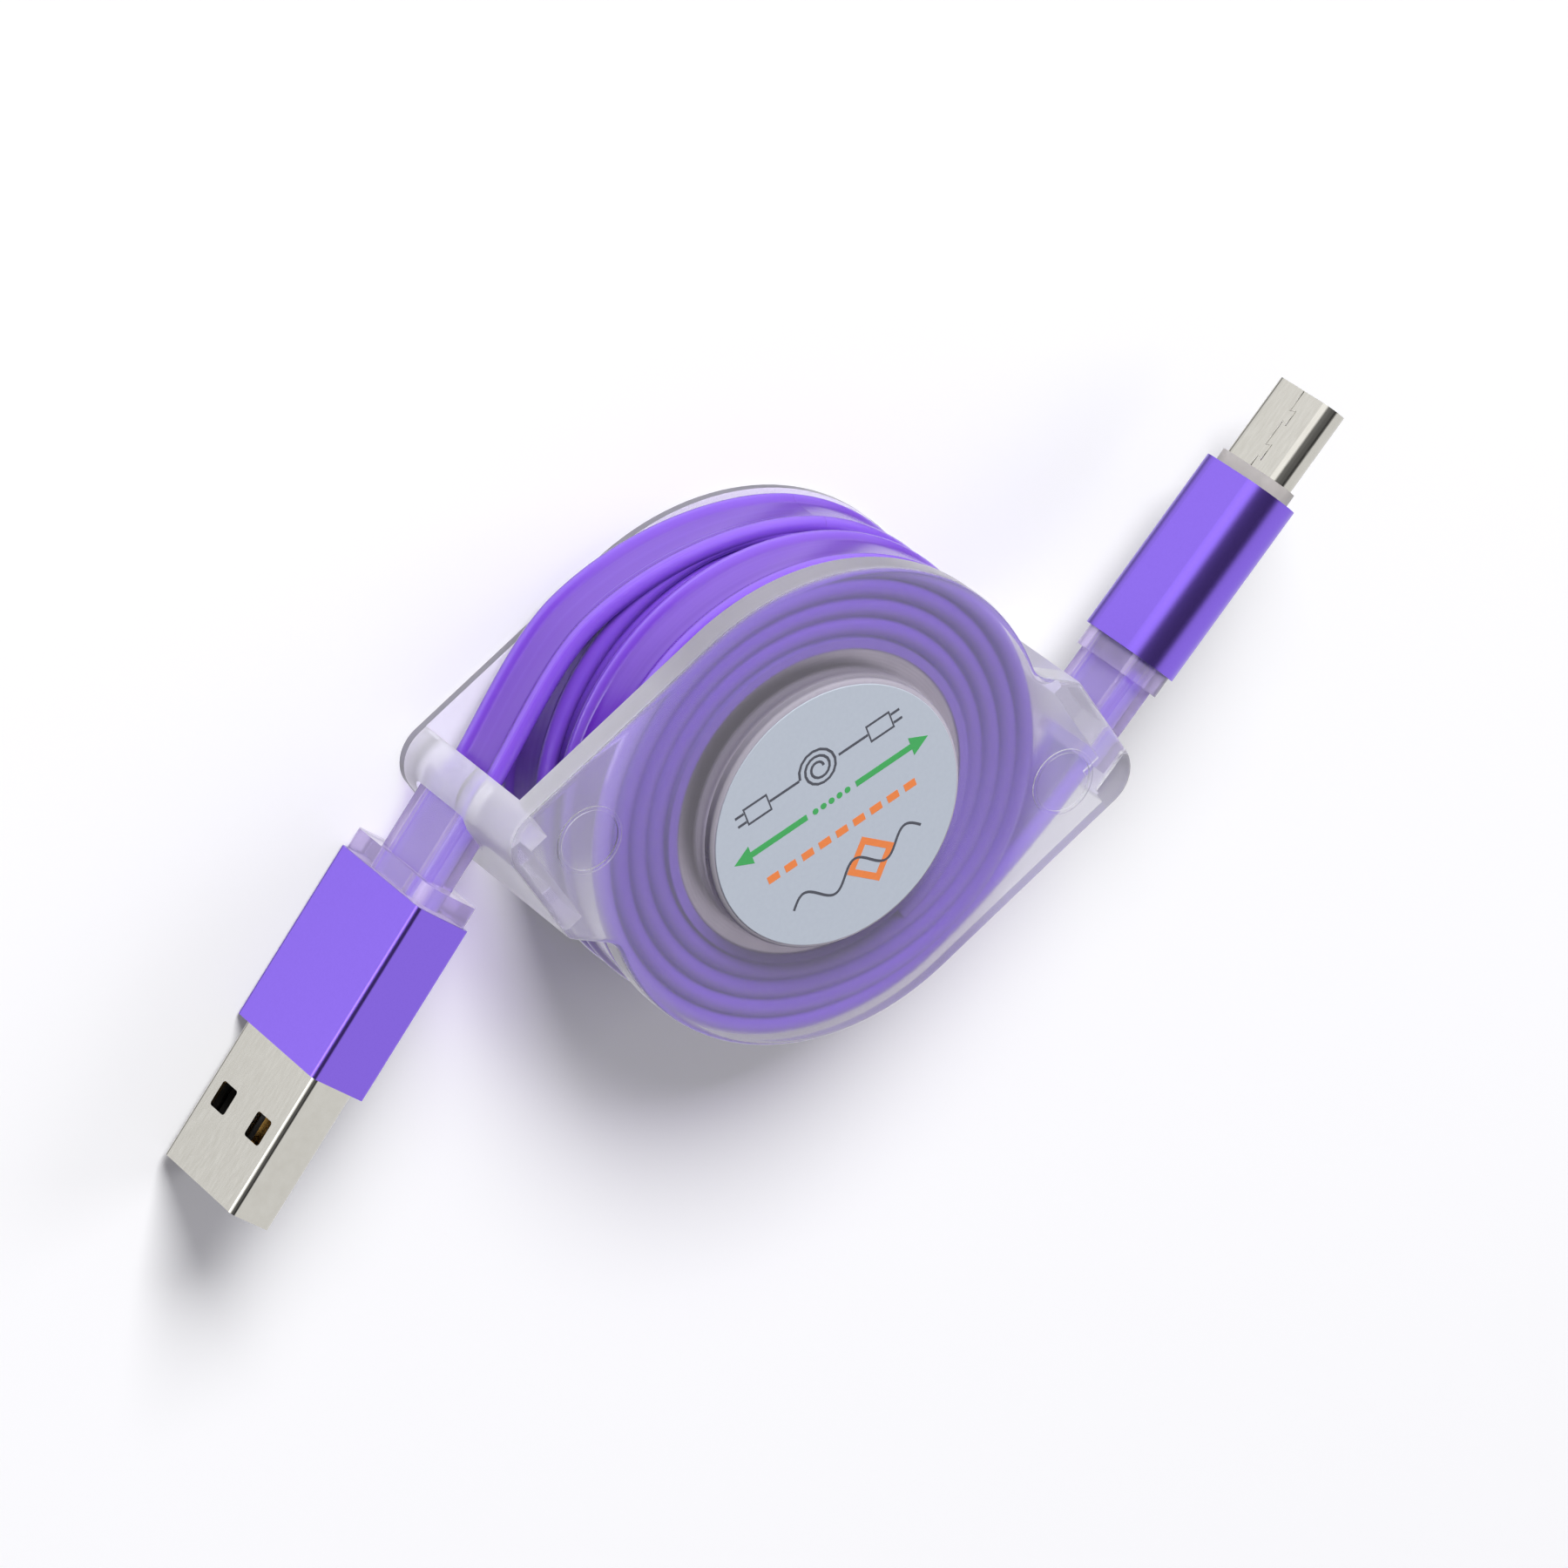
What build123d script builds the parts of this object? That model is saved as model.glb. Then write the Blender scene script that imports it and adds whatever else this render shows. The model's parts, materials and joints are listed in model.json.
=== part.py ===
from build123d import *
import os
from math import cos, radians, sin

os.makedirs("parts", exist_ok=True)

# Retractable charging cable: a clear reel with open sides and a plug on each end of a flat cable.
# Millimetres, +Z up. The reel lies on its rear cover, with the origin on the spool axis at that
# cover's outer face, and +X runs along the covers' long straight edges.

# Covers
COVER_R = 22.2  # round part of both covers
HOUSING_T = 18.8  # from outer face to outer face
REAR_T = 0.7
FRONT_T = 2.5
EAR_REACH = 2.2  # how far an ear's end stands past the round part
EAR_LOW_Y = 9.2  # lower corner of an ear's end
EAR_ROOT = (20.0, 3.3)  # where the ear's slanted side would meet inside the round part
EAR_CORNER_R = 3.4
EAR_LOW_R = 1.6
EAR_ROOT_R = 2.0
WALL_T = 2.2  # end wall of an ear
BRIDGE_T = 1.0  # wall along the long edge, over the mouth
BRIDGE_X = 4.2  # its length from the ear's end
CORNER_MORE = 0.6  # solid corner of the end walls, past the ear's rounding
BOSS_R = 12.5  # raised disc under the label
BOSS_H = 1.0
BOSS_EDGE_R = 0.4
LABEL_T = 0.15
MARK_R = 3.1  # thin moulded ring on each ear
MARK_AT = (18.0, 16.0)
MARK_WALL = 0.35
MARK_H = 0.15
EDGE_R = 0.6  # rounding of the front cover's rim

# Snap tongue on the inside of each end wall
SNAP_Y = 12.6
SNAP_W = 3.8
SNAP_T = 0.9
SNAP_DEPTH = 3.8
SNAP_BEAD_R = 0.35
SNAP_BEAD_UP = 1.0  # from the tongue's end to the middle of its bead

# Post, drum and spring
POST_SEAT_R = 5.5
POST_SEAT_Z = 4.0
JOURNAL_R = 4.0
ARBOR_R = 3.0
ARBOR_SLOT = 0.8
ARBOR_SLOT_UP = 0.4  # from the web to the slot
DRUM_WALL = 0.85
WEB_Z = 7.9  # underside of the drum's web
WEB_T = 1.3
HUB_R = 6.2
SPRING_W = 6.7
SPRING_T = 0.3
SPRING_PACK = 2.6  # radial depth of the turns packed against the drum
SPRING_TURNS = 2  # loose turns between the pack and the arbor

# Ratchet track and pawl
TRACK_R = 8.8  # centre line of the nub's path
TRACK_GAP = 2.4  # free width of the track
TRACK_WALL = 0.8
TRACK_Z = 4.8  # open edge of the track walls
NOTCH_R = 0.9
PAWL_PIVOT_ANGLE = 250.0
PAWL_NUB_ANGLE = 285.0
PAWL_PIN_R = 0.9
PAWL_EYE_R = 1.5
PAWL_T = 1.8
PAWL_SEAT = 0.6
PAWL_PIN_OUT = 0.6  # pin past its seat and the pawl
NUB_R = 0.7
NUB_PAD = 0.3  # arm round the nub
NUB_TOP = 7.4

# Flat cable and winding
CABLE_W = 6.7
CABLE_T = 1.7  # at the raised edges
CABLE_MID_T = 1.1  # between the edges
CABLE_EDGE = 1.5  # width of a raised edge
CABLE_BEVEL = 0.5  # how far the sides of a raised edge slope
TURN_GAP = 0.05
HALF_TURNS = 6  # half turns from the drum to where the lead leaves
REAR_END_ANGLE = 40.0  # where the rear winding's lead leaves, round the spool from +X
FRONT_END_ANGLE = 270.0
LEAD_A_BOW = 1.3  # how far the type-A lead bows out past the covers' long edge
LEAD_A_BOW_X = -5.0  # where it bows out most
LEAD_STATIONS = 8  # sections along a lead's bend

# Plugs, along the pull direction from the mouth in the ear's end wall
MOUTH_INSET = 4.0  # from the long edge to the middle of the mouth
MOUTH_R = 0.6
PLUG_A_ANGLE = 19.4  # pull direction against the long edges
PLUG_C_ANGLE = 14.2
NECK_W = 7.6
NECK_T = 3.4
NECK_R = 0.5
NECK_IN = 3.0  # neck of the boot inside the mouth
FLANGE_START = 5.0
SLEEVE_START = 7.0
SLEEVE_LIFT = 0.1  # type-A sleeve above the table

# Type-A plug
A_SLEEVE_L = 16.85
A_SLEEVE_WALL = 0.55
A_SLEEVE_R = 0.5
A_FLANGE_IN = 0.1  # flange of the boot inside the sleeve's outline, per side
A_FLANGE_R = 1.2
A_SHELL_W = 12.0
A_SHELL_T = 4.5
A_SHELL_WALL = 0.3
A_SHELL_R = 0.55
A_SHELL_OUT = 13.5
A_SHELL_IN = 6.2
A_WINDOW = 2.4
A_WINDOW_R = 0.3
A_WINDOW_PITCH = 6.0
A_WINDOW_FROM_TIP = 7.0
A_TONGUE_T = 1.84
A_TONGUE_BACK = 0.6  # from the shell's tip
A_ROOT_L = 4.0
A_CONTACT_W = 1.0
A_CONTACT_T = 0.15
A_CONTACT_BACK = 1.0  # from the tongue's end
A_CONTACT_X = (-3.5, -1.0, 1.0, 3.5)
A_CONTACT_L = (8.0, 7.0, 7.0, 8.0)

# Type-C plug
C_SLEEVE_L = 18.1
C_SLEEVE_WALL = 0.65
C_BOOT_IN = 0.4  # collar of the boot inside the sleeve's outline, per side
C_COLLAR_OUT = 1.2
C_COLLAR_WALL = 0.35  # beside the shell's rounded edges
C_COLLAR_SIDE = 0.45  # over its wide faces
C_COLLAR_IN = 8.0
C_SHELL_W = 8.4
C_SHELL_T = 2.6
C_SHELL_WALL = 0.25
C_SHELL_OUT = 8.0
C_SHELL_IN = 6.5
C_SLOT_W = 6.7
C_SLOT_T = 0.8
C_SLOT_L = 5.5
C_CONTACTS = 6
C_CONTACT_W = 0.35
C_CONTACT_T = 0.1
C_CONTACT_L = 4.0
C_CONTACT_BACK = 0.6  # from the shell's tip
C_BOARD_T = 0.8
C_BOARD_W = 6.5
C_BOARD_L = 7.0

# Clearances
RUN_FIT = 0.05  # turning on a post or pin, per side
SEAT = 0.1  # between pieces that sit in one another
MOUTH_GAP = 0.25  # round the boot's neck in the mouth
MOUTH_RUN = 2.0  # mouth's cut past the neck and past the wall
REAR_GAP = 0.3  # between the rear winding and its cover
FRONT_GAP = 0.2  # between the front winding and its cover
RIM_GAP = 0.1  # outer turn inside the covers' round edge
PAWL_GAP = 0.3  # between the pawl's eye and the drum's wall
A_SIDE_GAP = 0.25  # between the type-A shell's wide faces and the sleeve
C_SIDE_GAP = 0.45  # between the type-C collar's wide faces and the sleeve

# Places that follow from the sizes
EAR_X = COVER_R + EAR_REACH
FRONT_IN = HOUSING_T - FRONT_T
SPLIT_Z = HOUSING_T / 2
BOSS_Z = HOUSING_T + BOSS_H
LABEL_R = BOSS_R - BOSS_EDGE_R
WEB_TOP = WEB_Z + WEB_T
PITCH = CABLE_T + TURN_GAP
WIND_END = COVER_R - RIM_GAP - CABLE_T / 2
WIND_START = WIND_END - HALF_TURNS / 2 * PITCH
REAR_START_ANGLE = REAR_END_ANGLE - 180 * HALF_TURNS
FRONT_START_ANGLE = FRONT_END_ANGLE - 180 * HALF_TURNS
DRUM_R = WIND_START - CABLE_T / 2 - SEAT
DRUM_IN_R = DRUM_R - DRUM_WALL
PAWL_PIVOT_R = DRUM_IN_R - PAWL_GAP - PAWL_EYE_R
A_BORE_W = A_SHELL_W + 2 * SEAT
A_BORE_T = A_SHELL_T + 2 * A_SIDE_GAP
A_SLEEVE_W = A_BORE_W + 2 * A_SLEEVE_WALL
A_SLEEVE_T = A_BORE_T + 2 * A_SLEEVE_WALL
C_COLLAR_W = C_SHELL_W + SEAT + 2 * C_COLLAR_WALL
C_COLLAR_T = C_SHELL_T + SEAT + 2 * C_COLLAR_SIDE
C_BORE_W = C_COLLAR_W + 2 * SEAT
C_BORE_T = C_COLLAR_T + 2 * C_SIDE_GAP
C_SLEEVE_W = C_BORE_W + 2 * C_SLEEVE_WALL
C_SLEEVE_T = C_BORE_T + 2 * C_SLEEVE_WALL
WIND_REAR_Z = REAR_T + REAR_GAP + CABLE_W / 2
WIND_FRONT_Z = FRONT_IN - FRONT_GAP - CABLE_W / 2
PLUG_A_Z = A_SLEEVE_W / 2 + SLEEVE_LIFT
PLUG_C_Z = HOUSING_T - PLUG_A_Z
MOUTH_Y = COVER_R - MOUTH_INSET
A_TIP = SLEEVE_START + A_SLEEVE_L + A_SHELL_OUT
A_SLEEVE_END = SLEEVE_START + A_SLEEVE_L
C_SLEEVE_END = SLEEVE_START + C_SLEEVE_L
C_COLLAR_END = C_SLEEVE_END + C_COLLAR_OUT
C_TIP = C_COLLAR_END + C_SHELL_OUT

# A plug's plane: its local Z is the pull direction, its local X is the plug's width, which is world Z.
pull_a = Vector(-cos(radians(PLUG_A_ANGLE)), -sin(radians(PLUG_A_ANGLE)), 0)
pull_c = Vector(cos(radians(PLUG_C_ANGLE)), sin(radians(PLUG_C_ANGLE)), 0)
plug_a = Plane(origin=(-EAR_X, MOUTH_Y, PLUG_A_Z), x_dir=(0, 0, 1), z_dir=pull_a)
plug_c = Plane(origin=(EAR_X, -MOUTH_Y, PLUG_C_Z), x_dir=(0, 0, 1), z_dir=pull_c)


def polar(radius, angle):
    return (radius * cos(radians(angle)), radius * sin(radians(angle)))


def ring_section(inner, outer, low, high):
    """A rectangle of a turned section, from its radii and heights."""
    with Locations((inner, low)):
        Rectangle(outer - inner, high - low, align=(Align.MIN, Align.MIN))


def ribbon_points(grow=0.0):
    """Half outline of the flat cable's section, thick at both edges, mirrored to all four quarters."""
    half_w = CABLE_W / 2
    edge = CABLE_T / 2 + grow
    quarter = [
        (half_w + grow, edge - CABLE_BEVEL),
        (half_w - CABLE_EDGE / 2, edge),
        (half_w - CABLE_EDGE - grow, CABLE_MID_T / 2 + grow),
    ]
    upper = quarter + [(-x, y) for x, y in reversed(quarter)]
    return upper + [(-x, -y) for x, y in upper]


def spiral(section, start, pitch, half_turns, angle, height):
    """Sweep a section through half turns about two centres in turn, so that it grows counter-clockwise."""
    out = Vector(*polar(1, angle), 0)
    along = Vector(*polar(1, angle + 90), 0)
    for k in range(half_turns):
        side = 1 if k % 2 == 0 else -1
        radius = start + pitch / 4 + k * pitch / 2
        centre = out * (-side * pitch / 4) + Vector(0, 0, height)
        plane = Plane(origin=centre + out * (side * radius), x_dir=(0, 0, 1), z_dir=along * side)
        with BuildSketch(plane) as profile:
            Polygon(*section, align=None)
        revolve(profile.sketch, axis=Axis(centre, (0, 0, 1)), revolution_arc=180)


# Outline that both covers share: a disc with two ears, half a turn apart
with BuildSketch() as outline:
    Circle(COVER_R)
    with PolarLocations(0, 2):
        Polygon(
            (0, 0), (0, COVER_R), (-EAR_X, COVER_R), (-EAR_X, EAR_LOW_Y), (-EAR_ROOT[0], EAR_ROOT[1]),
            align=None,
        )
    ends = outline.vertices().filter_by(lambda v: abs(v.X) > EAR_X - 0.01)
    fillet(ends.filter_by(lambda v: abs(v.Y) > COVER_R - 0.01), EAR_CORNER_R)
    ends = outline.vertices().filter_by(lambda v: abs(v.X) > EAR_X - 0.01)
    fillet(ends.filter_by(lambda v: abs(v.Y) < EAR_LOW_Y + 0.01), EAR_LOW_R)
    inside = outline.vertices().filter_by(lambda v: abs(v.X) < COVER_R and v.X * v.Y < 0)
    fillet(inside.filter_by(lambda v: EAR_ROOT[1] < abs(v.Y) < EAR_LOW_Y), EAR_ROOT_R)

# Section of the end walls: the ear's end and a short bridge along the long edge
with BuildSketch() as walls:
    with PolarLocations(0, 2):
        with Locations((-EAR_X, EAR_LOW_Y)):
            Rectangle(WALL_T, COVER_R - EAR_LOW_Y, align=(Align.MIN, Align.MIN))
        with Locations((-EAR_X, COVER_R - BRIDGE_T)):
            Rectangle(BRIDGE_X, BRIDGE_T, align=(Align.MIN, Align.MIN))
        with Locations((-EAR_X, COVER_R)):
            Rectangle(EAR_CORNER_R + CORNER_MORE, EAR_CORNER_R + CORNER_MORE, align=(Align.MIN, Align.MAX))
    add(outline.sketch, mode=Mode.INTERSECT)


def cut_mouths():
    """Passages for both boots' necks, along the pull directions."""
    for plane in (plug_a, plug_c):
        with BuildSketch(plane.offset(-NECK_IN - MOUTH_RUN)) as mouth:
            RectangleRounded(NECK_W + 2 * MOUTH_GAP, NECK_T + 2 * MOUTH_GAP, MOUTH_R)
        extrude(mouth.sketch, amount=NECK_IN + WALL_T + 2 * MOUTH_RUN, mode=Mode.SUBTRACT)


# Rear cover
with BuildPart() as rear_cover:
    add(outline.sketch)
    extrude(amount=REAR_T)
    with BuildSketch(Plane.XY.offset(REAR_T)):
        add(walls.sketch)
    extrude(amount=SPLIT_Z - REAR_T)
    cut_mouths()
    # Pockets for the front cover's snap tongues, with a groove for the bead
    with BuildSketch(Plane.XY.offset(SPLIT_Z)):
        with PolarLocations(0, 2):
            with Locations((-EAR_X + WALL_T, SNAP_Y)):
                Rectangle(SNAP_T + SEAT, SNAP_W + 2 * SEAT, align=(Align.MAX, Align.CENTER))
    extrude(amount=-SNAP_DEPTH - SEAT, mode=Mode.SUBTRACT)
    with BuildSketch(Plane.XZ.offset(-SNAP_Y)):
        with Locations((-EAR_X + WALL_T - SNAP_T, SPLIT_Z - SNAP_DEPTH + SNAP_BEAD_UP)):
            Circle(SNAP_BEAD_R + SEAT)
    extrude(amount=SNAP_W / 2 + SEAT, both=True, mode=Mode.SUBTRACT)
    with BuildSketch(Plane.XZ.offset(SNAP_Y)):
        with Locations((EAR_X - WALL_T + SNAP_T, SPLIT_Z - SNAP_DEPTH + SNAP_BEAD_UP)):
            Circle(SNAP_BEAD_R + SEAT)
    extrude(amount=SNAP_W / 2 + SEAT, both=True, mode=Mode.SUBTRACT)
    # Post: seat, journal for the drum, slotted arbor for the spring
    with BuildSketch(Plane.XZ):
        ring_section(0, POST_SEAT_R, REAR_T, POST_SEAT_Z)
        ring_section(0, JOURNAL_R, POST_SEAT_Z, WEB_TOP)
        ring_section(0, ARBOR_R, WEB_TOP, HOUSING_T - SEAT)
    revolve(axis=Axis.Z)
    with BuildSketch(Plane.XY.offset(WEB_TOP + ARBOR_SLOT_UP)):
        Rectangle(ARBOR_R * 2, ARBOR_SLOT)
    extrude(amount=SPRING_W - ARBOR_SLOT_UP, mode=Mode.SUBTRACT)
    # Pin and seat of the pawl
    with BuildSketch(Plane.XY.offset(REAR_T)):
        with Locations(polar(PAWL_PIVOT_R, PAWL_PIVOT_ANGLE)):
            Circle(PAWL_EYE_R)
    extrude(amount=PAWL_SEAT)
    with BuildSketch(Plane.XY.offset(REAR_T + PAWL_SEAT)):
        with Locations(polar(PAWL_PIVOT_R, PAWL_PIVOT_ANGLE)):
            Circle(PAWL_PIN_R)
    extrude(amount=PAWL_T + PAWL_PIN_OUT)
rear_cover.part.label = "rear_cover"
export_step(rear_cover.part, "parts/rear_cover.step")

# Front cover
with BuildPart() as front_cover:
    with BuildSketch(Plane.XY.offset(FRONT_IN)):
        add(outline.sketch)
    extrude(amount=FRONT_T)
    fillet(front_cover.faces().sort_by(Axis.Z)[-1].outer_wire().edges(), EDGE_R)
    with BuildSketch(Plane.XY.offset(HOUSING_T)):
        Circle(BOSS_R)
    extrude(amount=BOSS_H)
    fillet(front_cover.edges().group_by(Axis.Z)[-1], BOSS_EDGE_R)
    with BuildSketch(Plane.XY.offset(HOUSING_T)):
        with Locations((-MARK_AT[0], MARK_AT[1]), (MARK_AT[0], -MARK_AT[1])):
            Circle(MARK_R)
            Circle(MARK_R - MARK_WALL, mode=Mode.SUBTRACT)
    extrude(amount=MARK_H)
    with BuildSketch(Plane.XY.offset(FRONT_IN)):
        add(walls.sketch)
    extrude(amount=SPLIT_Z - FRONT_IN)
    cut_mouths()
    # Snap tongues, each with a bead near its end
    with BuildSketch(Plane.XY.offset(SPLIT_Z)):
        with PolarLocations(0, 2):
            with Locations((-EAR_X + WALL_T, SNAP_Y)):
                Rectangle(SNAP_T, SNAP_W, align=(Align.MAX, Align.CENTER))
    extrude(amount=-SNAP_DEPTH)
    with BuildSketch(Plane.XZ.offset(-SNAP_Y)):
        with Locations((-EAR_X + WALL_T - SNAP_T, SPLIT_Z - SNAP_DEPTH + SNAP_BEAD_UP)):
            Circle(SNAP_BEAD_R)
    extrude(amount=SNAP_W / 2, both=True)
    with BuildSketch(Plane.XZ.offset(SNAP_Y)):
        with Locations((EAR_X - WALL_T + SNAP_T, SPLIT_Z - SNAP_DEPTH + SNAP_BEAD_UP)):
            Circle(SNAP_BEAD_R)
    extrude(amount=SNAP_W / 2, both=True)
    # Socket for the end of the post
    with BuildSketch(Plane.XY.offset(FRONT_IN)):
        Circle(ARBOR_R + RUN_FIT)
    extrude(amount=FRONT_T, mode=Mode.SUBTRACT)
front_cover.part.label = "front_cover"
export_step(front_cover.part, "parts/front_cover.step")

# Label on the boss
with BuildPart() as front_label:
    with BuildSketch(Plane.XY.offset(BOSS_Z)):
        Circle(LABEL_R)
    extrude(amount=LABEL_T)
front_label.part.label = "front_label"
export_step(front_label.part, "parts/front_label.step")

# Drum: wall, web and hub, with the two walls of the ratchet track under the web
with BuildPart() as spool_drum:
    with BuildSketch(Plane.XZ):
        ring_section(DRUM_IN_R, DRUM_R, REAR_T + REAR_GAP, FRONT_IN - FRONT_GAP)
        ring_section(JOURNAL_R + RUN_FIT, DRUM_IN_R, WEB_Z, WEB_TOP)
        ring_section(JOURNAL_R + RUN_FIT, HUB_R, POST_SEAT_Z + RUN_FIT, WEB_Z)
        ring_section(HUB_R, TRACK_R - TRACK_GAP / 2, TRACK_Z, WEB_Z)
        ring_section(TRACK_R + TRACK_GAP / 2, TRACK_R + TRACK_GAP / 2 + TRACK_WALL, TRACK_Z, WEB_Z)
    revolve(axis=Axis.Z)
    with BuildSketch(Plane.XY.offset(TRACK_Z)):
        with PolarLocations(TRACK_R - TRACK_GAP / 2, 3):
            Circle(NOTCH_R)
    extrude(amount=WEB_Z - TRACK_Z, mode=Mode.SUBTRACT)
spool_drum.part.label = "spool_drum"
export_step(spool_drum.part, "parts/spool_drum.step")

# Mainspring: turns packed against the drum, and a few loose turns in to the arbor
pack_in = DRUM_IN_R - SEAT - SPRING_PACK
spring_low = WEB_TOP + SEAT
strip = [
    (SPRING_W / 2, SPRING_T / 2), (-SPRING_W / 2, SPRING_T / 2),
    (-SPRING_W / 2, -SPRING_T / 2), (SPRING_W / 2, -SPRING_T / 2),
]
spring_start = ARBOR_R + SEAT + SPRING_T / 2
with BuildPart() as mainspring:
    with BuildSketch(Plane.XZ):
        ring_section(pack_in, pack_in + SPRING_PACK, spring_low, spring_low + SPRING_W)
    revolve(axis=Axis.Z)
    spiral(
        strip, spring_start, (pack_in + SPRING_T / 4 - spring_start) / SPRING_TURNS, 2 * SPRING_TURNS,
        90, spring_low + SPRING_W / 2,
    )
mainspring.part.label = "mainspring"
export_step(mainspring.part, "parts/mainspring.step")

# Windings, one behind the other on the drum
with BuildPart() as winding_rear:
    spiral(ribbon_points(), WIND_START, PITCH, HALF_TURNS, REAR_START_ANGLE, WIND_REAR_Z)
winding_rear.part.label = "winding_rear"
export_step(winding_rear.part, "parts/winding_rear.step")

with BuildPart() as winding_front:
    spiral(ribbon_points(), WIND_START, PITCH, HALF_TURNS, FRONT_START_ANGLE, WIND_FRONT_Z)
winding_front.part.label = "winding_front"
export_step(winding_front.part, "parts/winding_front.step")


def lead(angle, height, bow, plane):
    """Flat cable from the end of a winding, by way of any bow, through the boot to the sleeve's end."""
    start = Vector(*polar(WIND_END, angle), height)
    leave = Vector(*polar(1, angle + 90), 0)
    enter = plane.origin - plane.z_dir * NECK_IN
    with BuildLine():
        bend = Spline(start, *bow, enter, tangents=(leave, plane.z_dir))
    stations = []
    for k in range(LEAD_STATIONS + 1):
        at = bend @ (k / LEAD_STATIONS)
        heading = bend % (k / LEAD_STATIONS)
        level = Vector(heading.X, heading.Y, 0)
        with BuildSketch(Plane(origin=at, x_dir=(0, 0, 1), z_dir=level)) as profile:
            Polygon(*ribbon_points(), align=None)
        stations.append(profile.sketch)
    loft(stations)
    extrude(stations[-1], amount=NECK_IN + SLEEVE_START)


with BuildPart() as cable_lead_a:
    bow = Vector(LEAD_A_BOW_X, COVER_R + LEAD_A_BOW, WIND_REAR_Z + (PLUG_A_Z - WIND_REAR_Z) / 5)
    lead(REAR_END_ANGLE, WIND_REAR_Z, [bow], plug_a)
cable_lead_a.part.label = "cable_lead_a"
export_step(cable_lead_a.part, "parts/cable_lead_a.step")

with BuildPart() as cable_lead_c:
    lead(FRONT_END_ANGLE, WIND_FRONT_Z, [], plug_c)
cable_lead_c.part.label = "cable_lead_c"
export_step(cable_lead_c.part, "parts/cable_lead_c.step")

# Pawl: an eye on the rear cover's pin and a nub that runs in the drum's track
pawl_low = REAR_T + PAWL_SEAT + RUN_FIT
with BuildPart() as ratchet_pawl:
    with BuildSketch(Plane.XY.offset(pawl_low)):
        with Locations(polar(PAWL_PIVOT_R, PAWL_PIVOT_ANGLE)):
            Circle(PAWL_EYE_R)
        with Locations(polar(TRACK_R, PAWL_NUB_ANGLE)):
            Circle(NUB_R + NUB_PAD)
        make_hull()
        with Locations(polar(PAWL_PIVOT_R, PAWL_PIVOT_ANGLE)):
            Circle(PAWL_PIN_R + RUN_FIT, mode=Mode.SUBTRACT)
    extrude(amount=PAWL_T)
    with BuildSketch(Plane.XY.offset(pawl_low + PAWL_T)):
        with Locations(polar(TRACK_R, PAWL_NUB_ANGLE)):
            Circle(NUB_R)
    extrude(amount=NUB_TOP - pawl_low - PAWL_T)
ratchet_pawl.part.label = "ratchet_pawl"
export_step(ratchet_pawl.part, "parts/ratchet_pawl.step")


def cut_cable_bore(plane):
    """Passage for the flat cable through a boot."""
    with BuildSketch(plane.offset(-NECK_IN)) as bore:
        Polygon(*ribbon_points(SEAT / 2), align=None)
    extrude(bore.sketch, amount=NECK_IN + SLEEVE_START, mode=Mode.SUBTRACT)


# Type-A plug
with BuildPart() as plug_a_boot:
    with BuildSketch(plug_a.offset(-NECK_IN)):
        RectangleRounded(NECK_W, NECK_T, NECK_R)
    extrude(amount=NECK_IN + FLANGE_START)
    with BuildSketch(plug_a.offset(FLANGE_START)):
        RectangleRounded(A_SLEEVE_W - 2 * A_FLANGE_IN, A_SLEEVE_T - 2 * A_FLANGE_IN, A_FLANGE_R)
    extrude(amount=SLEEVE_START - FLANGE_START)
    cut_cable_bore(plug_a)
plug_a_boot.part.label = "plug_a_boot"
export_step(plug_a_boot.part, "parts/plug_a_boot.step")

with BuildPart() as plug_a_sleeve:
    with BuildSketch(plug_a.offset(SLEEVE_START)):
        RectangleRounded(A_SLEEVE_W, A_SLEEVE_T, A_SLEEVE_R)
        Rectangle(A_BORE_W, A_BORE_T, mode=Mode.SUBTRACT)
    extrude(amount=A_SLEEVE_L)
plug_a_sleeve.part.label = "plug_a_sleeve"
export_step(plug_a_sleeve.part, "parts/plug_a_sleeve.step")

a_shell_back = A_SLEEVE_END - A_SHELL_IN
a_cavity_w = A_SHELL_W - 2 * A_SHELL_WALL
a_cavity_t = A_SHELL_T - 2 * A_SHELL_WALL
with BuildPart() as plug_a_core:
    with BuildSketch(plug_a.offset(SLEEVE_START)):
        Rectangle(A_BORE_W - SEAT, A_BORE_T - SEAT)
    extrude(amount=a_shell_back - SLEEVE_START)
plug_a_core.part.label = "plug_a_core"
export_step(plug_a_core.part, "parts/plug_a_core.step")

with BuildPart() as plug_a_shell:
    with BuildSketch(plug_a.offset(a_shell_back)):
        RectangleRounded(A_SHELL_W, A_SHELL_T, A_SHELL_R)
        RectangleRounded(a_cavity_w, a_cavity_t, A_SHELL_R - A_SHELL_WALL, mode=Mode.SUBTRACT)
    extrude(amount=A_TIP - a_shell_back)
    window_centre = plug_a.origin + plug_a.z_dir * (A_TIP - A_WINDOW_FROM_TIP)
    window_plane = Plane(origin=window_centre, x_dir=plug_a.x_dir, z_dir=plug_a.y_dir)
    with BuildSketch(window_plane):
        with GridLocations(A_WINDOW_PITCH, 0, 2, 1):
            RectangleRounded(A_WINDOW, A_WINDOW, A_WINDOW_R)
    extrude(amount=A_SHELL_T, both=True, mode=Mode.SUBTRACT)
plug_a_shell.part.label = "plug_a_shell"
export_step(plug_a_shell.part, "parts/plug_a_shell.step")

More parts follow.
